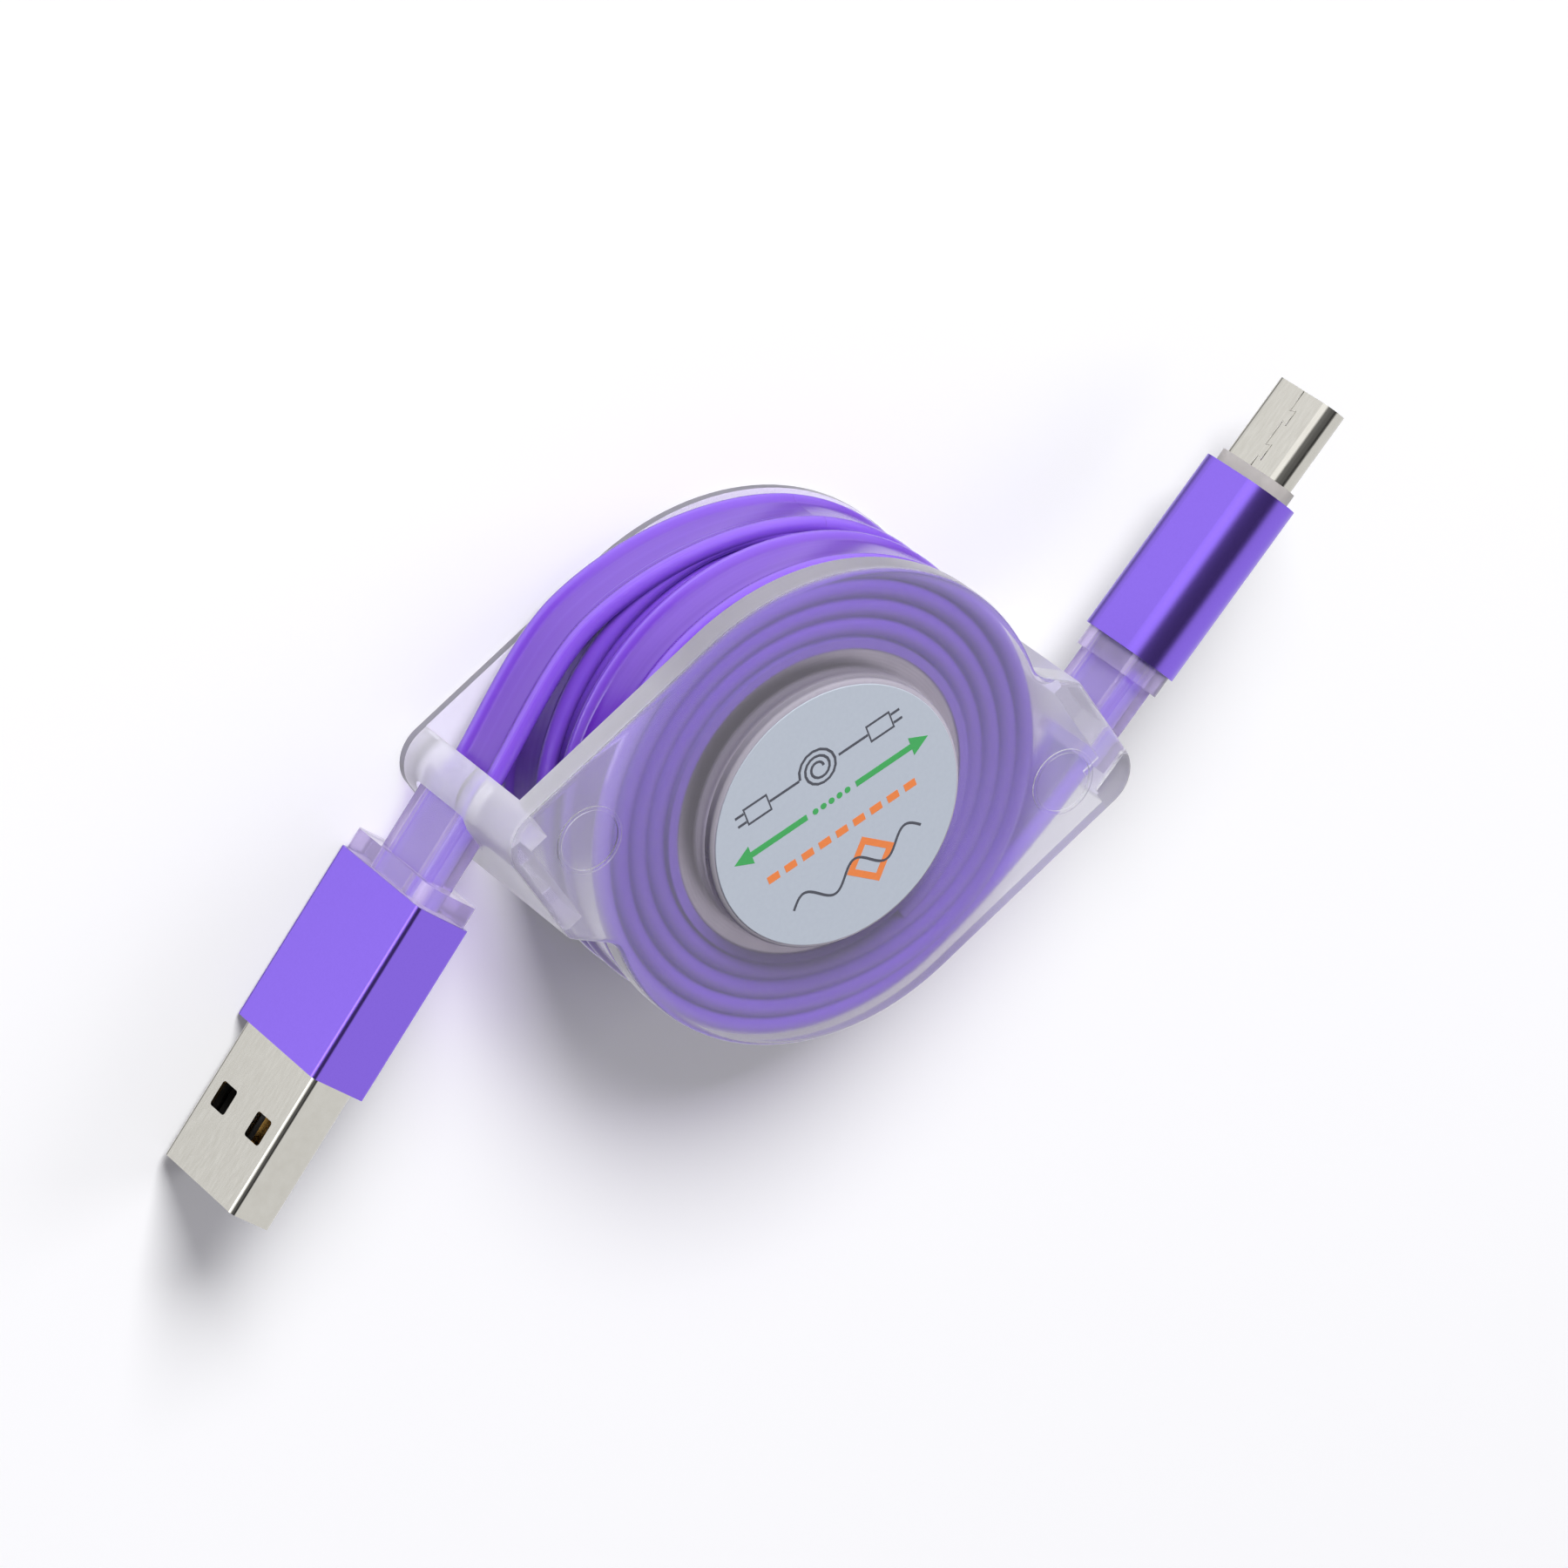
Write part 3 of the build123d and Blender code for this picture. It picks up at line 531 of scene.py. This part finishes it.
def round_section(radius, sides):
    """A circle of points: the section of a bead, or the outline of a dot."""
    angles = [2 * pi * k / sides for k in range(sides)]
    return [(radius * cos(angle), radius * sin(angle)) for angle in angles]


def sockets_in(tree, kinds):
    """Named inputs of a Geometry Nodes tree, as their identifiers."""
    names = {}
    for name, kind in kinds.items():
        names[name] = tree.interface.new_socket(name, in_out="INPUT", socket_type=kind).identifier
    return names


def keep_values(tree, curve, values):
    """Carry values that are read on a curve over to what is swept from it."""
    kept = put(tree, "GeometryNodeCaptureAttribute", {"Geometry": curve})
    for name, value in values.items():
        kept.capture_items.new("FLOAT", name)
        tree.links.new(value, kept.inputs[name])
    return kept.outputs


def sweep_along(tree, path, given):
    """Nodes that sweep the given section along a path, keep each point's place on it, and end the tree."""
    upright = put(tree, "GeometryNodeSetCurveNormal", {"Curve": path}, mode="Z_UP").outputs["Curve"]
    along = put(tree, "GeometryNodeSplineParameter").outputs["Length"]
    kept_path = keep_values(tree, upright, {"Along": along})
    section = put(tree, "GeometryNodeObjectInfo", {"Object": given["Section"]}).outputs["Geometry"]
    around = put(tree, "GeometryNodeSplineParameter").outputs["Length"]
    place = put(tree, "GeometryNodeInputPosition").outputs["Position"]
    across = put(tree, "ShaderNodeSeparateXYZ", {"Vector": place}).outputs["Y"]
    kept_section = keep_values(tree, section, {"Around": around, "Across": across})
    swept = put(tree, "GeometryNodeCurveToMesh", {
        "Curve": kept_path["Geometry"], "Profile Curve": kept_section["Geometry"], "Fill Caps": True,
    })
    run = put(tree, "ShaderNodeCombineXYZ", {
        "X": kept_path["Along"], "Y": kept_section["Around"], "Z": kept_section["Across"],
    })
    named = put(
        tree, "GeometryNodeStoreNamedAttribute",
        {"Geometry": swept.outputs["Mesh"], "Name": "run", "Value": run.outputs["Vector"]},
        data_type="FLOAT_VECTOR", domain="POINT",
    )
    smooth = put(tree, "GeometryNodeSetShadeSmooth", {"Geometry": named.outputs["Geometry"]})
    real = put(tree, "GeometryNodeRealizeInstances", {"Geometry": smooth.outputs["Geometry"]})
    painted = put(tree, "GeometryNodeSetMaterial", {
        "Geometry": real.outputs["Geometry"], "Material": given["Material"],
    })
    tree.interface.new_socket("Geometry", in_out="OUTPUT", socket_type="NodeSocketGeometry")
    put(tree, "NodeGroupOutput", {0: painted.outputs["Geometry"]})


def winding_tree():
    """A wound cable: a section swept along flat turns, with a short climb from each turn to the next."""
    tree = bpy.data.node_groups.new("winding", "GeometryNodeTree")
    names = sockets_in(tree, {
        "Section": "NodeSocketObject",
        "Material": "NodeSocketMaterial",
        "Turns": "NodeSocketFloat",
        "Steps a turn": "NodeSocketInt",
        "Start radius": "NodeSocketFloat",
        "End radius": "NodeSocketFloat",
        "End angle": "NodeSocketFloat",
        "Height": "NodeSocketFloat",
    })
    given = put(tree, "NodeGroupInput").outputs
    circles = put(tree, "GeometryNodeCurveSpiral", {
        "Resolution": given["Steps a turn"], "Rotations": given["Turns"],
        "Start Radius": 1.0, "End Radius": 1.0, "Height": 0.0, "Reverse": True,
    })
    factor = put(tree, "GeometryNodeSplineParameter").outputs["Factor"]
    half_on = calc(tree, "ADD", calc(tree, "MULTIPLY", factor, given["Turns"]), 0.5)
    climb = put(tree, "ShaderNodeMapRange", {
        "Value": calc(tree, "FRACT", half_on),
        "From Min": 0.5 - CLIMB / 2,
        "From Max": 0.5 + CLIMB / 2,
    }, interpolation_type="SMOOTHSTEP").outputs["Result"]
    layer = calc(tree, "MAXIMUM", calc(tree, "ADD", calc(tree, "FLOOR", half_on), climb), 1.0)
    layer = calc(tree, "SUBTRACT", calc(tree, "MINIMUM", layer, given["Turns"]), 1.0)
    share = calc(tree, "DIVIDE", layer, calc(tree, "SUBTRACT", given["Turns"], 1.0))
    depth = calc(tree, "MULTIPLY", share, calc(tree, "SUBTRACT", given["End radius"], given["Start radius"]))
    place = put(tree, "ShaderNodeVectorMath", {
        0: put(tree, "GeometryNodeInputPosition").outputs["Position"],
        "Scale": calc(tree, "ADD", given["Start radius"], depth),
    }, operation="SCALE")
    layers = put(tree, "GeometryNodeSetPosition", {
        "Geometry": circles.outputs["Curve"], "Position": place.outputs["Vector"],
    })
    placed = put(tree, "GeometryNodeTransform", {
        "Geometry": layers.outputs["Geometry"],
        "Translation": put(tree, "ShaderNodeCombineXYZ", {"Z": given["Height"]}).outputs["Vector"],
        "Rotation": put(tree, "ShaderNodeCombineXYZ", {"Z": given["End angle"]}).outputs["Vector"],
    })
    sweep_along(tree, placed.outputs["Geometry"], given)
    return tree, names


def run_tree():
    """A stretch of cable or a bead: a section swept along the object's own curve."""
    tree = bpy.data.node_groups.new("run", "GeometryNodeTree")
    names = sockets_in(tree, {
        "Geometry": "NodeSocketGeometry",
        "Section": "NodeSocketObject",
        "Material": "NodeSocketMaterial",
    })
    given = put(tree, "NodeGroupInput").outputs
    sweep_along(tree, given["Geometry"], given)
    return tree, names


def grown(name, base, tree, names, values):
    """Run a Geometry Nodes tree on an object's data and keep the result as a plain mesh."""
    maker = new_piece(name + "_maker", base)
    modifier = maker.modifiers.new("grow", "NODES")
    modifier.node_group = tree
    for key, value in values.items():
        modifier[names[key]] = value
    depsgraph = bpy.context.evaluated_depsgraph_get()
    mesh = bpy.data.meshes.new_from_object(maker.evaluated_get(depsgraph), depsgraph=depsgraph)
    bpy.data.objects.remove(maker)
    return new_piece(name, mesh)


def smooth_line(name, points):
    """A smooth line through points, each with its heading and the reach of its handles."""
    data = bpy.data.curves.new(name, "CURVE")
    data.dimensions = "3D"
    data.resolution_u = LEAD_STEPS
    line = data.splines.new("BEZIER")
    line.bezier_points.add(len(points) - 1)
    for point, (place, heading, back, ahead) in zip(line.bezier_points, points):
        point.co = place
        point.handle_left = place - heading * back
        point.handle_right = place + heading * ahead
    return data


def bent_line(name, places):
    """A line of straight stretches."""
    data = bpy.data.curves.new(name, "CURVE")
    data.dimensions = "3D"
    line = data.splines.new("POLY")
    line.points.add(len(places) - 1)
    for point, place in zip(line.points, places):
        point.co = (*place, 1)
    return data


flat_cable = section_curve("cable_section", cable_section())
bead = section_curve("bead_section", round_section(SEAM_R, SEAM_SIDES))
wind, wind_names = winding_tree()
route, route_names = run_tree()


def mid_height(node):
    """Height of a solid's middle."""
    low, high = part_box(node)
    return (low.z + high.z) / 2


def winding(node, end_angle):
    """One wound roll in place of its solid."""
    values = {
        "Section": flat_cable, "Material": finishes["cable_jacket"],
        "Turns": float(TURNS), "Steps a turn": TURN_STEPS,
        "Start radius": WIND_START, "End radius": WIND_END,
        "End angle": end_angle, "Height": mid_height(node),
    }
    empty = bpy.data.meshes.new(node + "_base")
    piece = grown(node + "_coil", empty, wind, wind_names, values)
    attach(piece, "spool")
    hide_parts(node)


def wind_exit(node, angle):
    """Where a winding's outer end leaves the roll, with its heading and the reach of its handles."""
    place = Vector((WIND_END * cos(angle), WIND_END * sin(angle), mid_height(node)))
    return place, Vector((-sin(angle), cos(angle), 0)), 0, EXIT_REACH


def lead(node, points, mouth, pull, enter_reach):
    """One lead in place of its solid, with a short stretch along the pull in the boot's end."""
    start = mouth - pull * NECK_IN
    in_boot = [
        (start, pull, enter_reach, JOIN_REACH),
        (start + pull * STRETCH, pull, JOIN_REACH, BOOT_REACH),
        (mouth + pull * SLEEVE_START, pull, BOOT_REACH, 0),
    ]
    values = {"Section": flat_cable, "Material": finishes["cable_jacket"]}
    piece = grown(node + "_run", smooth_line(node, points + in_boot), route, route_names, values)
    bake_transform(piece)
    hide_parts(node)


def shell_seam():
    """Raised edge of the folded seam along the type-C shell's wide face."""
    tip = mouth_c + pull_c * PLUG_C_REACH
    face = UP.cross(pull_c) * (C_SHELL_T / 2)
    places = [tip + face - pull_c * (back * MM) + UP * (side * MM) for back, side in SEAM]
    values = {"Section": bead, "Material": plug_metal("seam_metal", 0.42, 0.5)}
    piece = grown("plug_c_seam", bent_line("plug_c_seam", places), route, route_names, values)
    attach(piece, "plug_c")


winding("winding_rear", REAR_END_ANGLE)
winding("winding_front", FRONT_END_ANGLE)
lead_a_start = [
    wind_exit("winding_rear", REAR_END_ANGLE),
    (LEAD_A_BOW, LEAD_A_HEADING, BOW_BACK, BOW_AHEAD),
]
lead("cable_lead_a", lead_a_start, mouth_a, pull_a, ENTER_A_REACH)
lead_c_start = [wind_exit("winding_front", FRONT_END_ANGLE)]
lead("cable_lead_c", lead_c_start, mouth_c, pull_c, ENTER_C_REACH)
shell_seam()
bpy.data.objects.remove(flat_cable)
bpy.data.objects.remove(bead)

label_low, label_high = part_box("front_label")
PRINT_LEVELS = (label_high.z - PRINT_T, label_high.z)


def keep_mesh(form, name, material):
    """Close a bmesh as a piece that stays with the housing."""
    bmesh.ops.recalc_face_normals(form, faces=form.faces)
    mesh = bpy.data.meshes.new(name)
    form.to_mesh(mesh)
    form.free()
    mesh.materials.append(material)
    piece = new_piece(name, mesh)
    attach(piece, "housing")
    return piece


def label_disc():
    """The round label, with softened edges, in place of its solid."""
    edge = (label_high.x - label_low.x) / 2
    low, high = label_low.z, PRINT_LEVELS[0]
    outline = [
        (0, low), (edge - LABEL_EDGE, low), (edge, low + LABEL_EDGE),
        (edge, high - LABEL_EDGE), (edge - LABEL_EDGE, high), (0, high),
    ]
    form = bmesh.new()
    points = [form.verts.new((radius, 0, height)) for radius, height in outline]
    sides = [form.edges.new(pair) for pair in zip(points, points[1:])]
    bmesh.ops.spin(
        form, geom=points + sides, axis=UP, cent=(0, 0, 0),
        steps=LABEL_STEPS, angle=2 * pi, use_merge=True,
    )
    bmesh.ops.remove_doubles(form, verts=form.verts, dist=MERGE)
    piece = keep_mesh(form, "front_label_disc", finishes["label_paper"])
    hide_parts("front_label")


def on_label(place, height):
    """A point of the print on the label."""
    turn = Matrix.Rotation(PRINT_TURN, 2)
    flat = turn @ Vector(place) * MM
    return (flat.x, flat.y, height)


def stroke(form, path, width, closed=False):
    """A flat line of ink along a path."""
    path = [Vector(place) for place in path]
    last = len(path) - 1
    rails = []
    for k, place in enumerate(path):
        before = path[k - 1] if closed or k > 0 else place
        after = path[(k + 1) % len(path)] if closed or k < last else place
        side = (after - before).orthogonal().normalized() * width / 2
        corners = ((side, 0), (-side, 0), (-side, 1), (side, 1))
        rails.append([form.verts.new(on_label(place + off, PRINT_LEVELS[level])) for off, level in corners])
    pairs = list(zip(rails, rails[1:])) + ([(rails[-1], rails[0])] if closed else [])
    for near, far in pairs:
        for k in range(4):
            form.faces.new((near[k - 1], near[k], far[k], far[k - 1]))
    if not closed:
        form.faces.new(rails[0])
        form.faces.new(rails[-1])


def patch(form, outline):
    """A filled shape of ink."""
    low, high = [[form.verts.new(on_label(place, level)) for place in outline] for level in PRINT_LEVELS]
    form.faces.new(low)
    form.faces.new(high)
    for k in range(len(outline)):
        form.faces.new((low[k - 1], low[k], high[k], high[k - 1]))


def print_grey():
    """Thin drawing: a coil with a line and a plug on each side, and a slack line below."""
    form = bmesh.new()
    coil = []
    for k in range(COIL_STEPS + 1):
        angle = 2 * pi * COIL_TURNS * k / COIL_STEPS
        radius = COIL_IN + (COIL_OUT - COIL_IN) * k / COIL_STEPS
        coil.append((radius * cos(angle), COIL_ROW + radius * sin(angle)))
    stroke(form, coil, LINE_W)
    for side in (-1, 1):
        for path in [CORD, PLUG] + PRONGS:
            stroke(form, [(side * u, COIL_ROW + v) for u, v in path], LINE_W, closed=path is PLUG)
    slack = []
    for k in range(SLACK_STEPS + 1):
        rise = SLACK_RISE * sin(2 * pi * SLACK_WAVES * k / SLACK_STEPS)
        slack.append((-SLACK_REACH + 2 * SLACK_REACH * k / SLACK_STEPS, SLACK_ROW + rise))
    stroke(form, slack, LINE_W)
    keep_mesh(form, "label_print_grey", ink("grey_ink", colour(66, 68, 78)))


def print_green():
    """Two arrows that point away from the middle, with a row of dots between them."""
    form = bmesh.new()
    for side in (-1, 1):
        stroke(form, [(side * ARROW_START, ARROW_ROW), (side * ARROW_HEAD, ARROW_ROW)], ARROW_W)
        head = [(ARROW_HEAD, -HEAD_HALF_W), (ARROW_TIP, 0), (ARROW_HEAD, HEAD_HALF_W)]
        patch(form, [(side * u, ARROW_ROW + v) for u, v in head])
    for k in range(-DOTS_ASIDE, DOTS_ASIDE + 1):
        dot = round_section(DOT_R, DOT_SIDES)
        patch(form, [(DOT_PITCH * k + u, ARROW_ROW + v) for u, v in dot])
    keep_mesh(form, "label_print_green", ink("green_ink", colour(58, 160, 84)))


def print_orange():
    """A row of dashes, and an open square on its corner, with its ink under the slack line's."""
    form = bmesh.new()
    for k in range(DASHES):
        start = DASH_START + DASH_PITCH * k
        stroke(form, [(start, DASH_ROW), (start + DASH_L, DASH_ROW)], DASH_W)
    corners = [(SQUARE_REACH, 0), (0, SQUARE_REACH), (-SQUARE_REACH, 0), (0, -SQUARE_REACH)]
    stroke(form, [(SQUARE_AT[0] + u, SQUARE_AT[1] + v) for u, v in corners], SQUARE_W, closed=True)
    for point in form.verts:
        point.co.z = min(point.co.z, PRINT_LEVELS[1] - UNDERPRINT)
    keep_mesh(form, "label_print_orange", ink("orange_ink", colour(228, 128, 66)))


label_disc()
print_grey()
print_green()
print_orange()


def camera():
    """The photograph's view."""
    data = bpy.data.cameras.new("camera")
    data.sensor_width = SENSOR
    data.lens = FOCAL_PX / IMAGE_PX * SENSOR
    data.clip_start = CLIP_NEAR
    data.clip_end = CLIP_FAR
    view = bpy.data.objects.new("camera", data)
    back = CAMERA_RIGHT.cross(CAMERA_UP)
    turn = Matrix((CAMERA_RIGHT, CAMERA_UP, back)).transposed()
    view.matrix_world = Matrix.Translation(CAMERA_AT) @ turn.to_4x4()
    bpy.context.scene.collection.objects.link(view)
    bpy.context.scene.camera = view


def first_sight(tree, kinds):
    """1 for rays of these kinds that have met no matt surface on their way, or else 0."""
    ray = put(tree, "ShaderNodeLightPath").outputs
    seen = ray[kinds[0]]
    for kind in kinds[1:]:
        seen = calc(tree, "MAXIMUM", seen, ray[kind])
    return calc(tree, "MULTIPLY", seen, calc(tree, "LESS_THAN", ray["Diffuse Depth"], 0.5))


def mirrored(tree):
    """1 for rays that a shiny face has sent back, or else 0: not for those that only pass a hazy one."""
    glossy = first_sight(tree, ["Is Glossy Ray"])
    depth = put(tree, "ShaderNodeLightPath").outputs["Glossy Depth"]
    return calc(tree, "MULTIPLY", glossy, calc(tree, "GREATER_THAN", depth, 0.5))


def facing(tree, sight, aim):
    """How far a line of sight points along an aim, from -1 to 1."""
    return put(tree, "ShaderNodeVectorMath", {0: sight, 1: aim}, operation="DOT_PRODUCT").outputs["Value"]


def in_cone(tree, sight, aim, angles, outside, inside):
    """A value that changes from outside to inside a cone about an aim."""
    wide, narrow = [cos(radians(angle)) for angle in angles]
    return spread(tree, facing(tree, sight, aim), outside, inside, wide, narrow)


def room(tree, sight):
    """What shiny faces mirror of the room: white table, dim walls, lit ceiling, dark camera, side lamp."""
    height = spread(tree, facing(tree, sight, PHOTO_UP), 0.0, 1.0, -1.0, 1.0)
    rise = put(tree, "ShaderNodeValToRGB", {"Fac": height})
    stops = rise.color_ramp.elements
    while len(stops) < len(ROOM):
        stops.new(1.0)
    for stop, (level, light) in zip(stops, ROOM):
        stop.position = (level + 1) / 2
        stop.color = (light / ROOM_PEAK, light / ROOM_PEAK, light / ROOM_PEAK, 1)
    lit = calc(tree, "MULTIPLY", rise.outputs["Color"], ROOM_PEAK)
    aside = in_cone(tree, sight, CAMERA_AT.normalized(), CAMERA_CONE, 1.0, CAMERA_DIM)
    lamp = in_cone(tree, sight, SIDE_LAMP, SIDE_CONE, 0.0, SIDE_LIGHT)
    return calc(tree, "ADD", calc(tree, "MULTIPLY", lit, aside), lamp)


def floor():
    """A plain white sweep under the reel. What shines sees the room in its place."""
    mesh = bpy.data.meshes.new("floor")
    edge = FLOOR_EDGE
    corners = [(-edge, -edge, 0), (edge, -edge, 0), (edge, edge, 0), (-edge, edge, 0)]
    mesh.from_pydata(corners, [], [(0, 1, 2, 3)])
    ground = new_piece("floor", mesh)
    ground.visible_glossy = False
    material, tree, shader = finish_base("floor")
    seen = first_sight(tree, ["Is Camera Ray", "Is Transmission Ray"])
    feed(tree, shader, {
        "Base Color": (0.96, 0.96, 0.97, 1),
        "Roughness": 0.9,
        "Specular IOR Level": 0.0,
        "Emission Color": WHITE,
        "Emission Strength": calc(tree, "MULTIPLY", seen, FLOOR_LIFT),
    })
    mesh.materials.append(material)


def softbox(name, place, size, power):
    """A square area lamp that points at the reel. Shiny and clear faces show the room and not the lamp."""
    data = bpy.data.lights.new(name, "AREA")
    data.size = size
    data.energy = power
    lamp = bpy.data.objects.new(name, data)
    lamp.location = place
    lamp.rotation_euler = (-Vector(place)).to_track_quat("-Z", "Y").to_euler()
    lamp.visible_glossy = False
    lamp.visible_transmission = False
    bpy.context.scene.collection.objects.link(lamp)


def studio():
    """A white room: faint bluish light from all round, and two soft lamps."""
    world = bpy.data.worlds.new("studio")
    bpy.context.scene.world = world
    world.use_nodes = True
    tree = world.node_tree
    sight = put(tree, "ShaderNodeTexCoord").outputs["Generated"]
    pale = between(tree, mirrored(tree), 1.0, room(tree, sight))
    seen = first_sight(tree, ["Is Camera Ray", "Is Glossy Ray", "Is Transmission Ray"])
    feed(tree, tree.nodes["Background"], {
        "Color": shades(tree, seen, AMBIENT_TINT, WHITE),
        "Strength": between(tree, seen, AMBIENT, pale),
    })
    for name, (place, size, power) in LAMPS.items():
        softbox(name, place, size, power)


camera()
floor()
studio()
bpy.context.scene.view_settings.view_transform = "Standard"
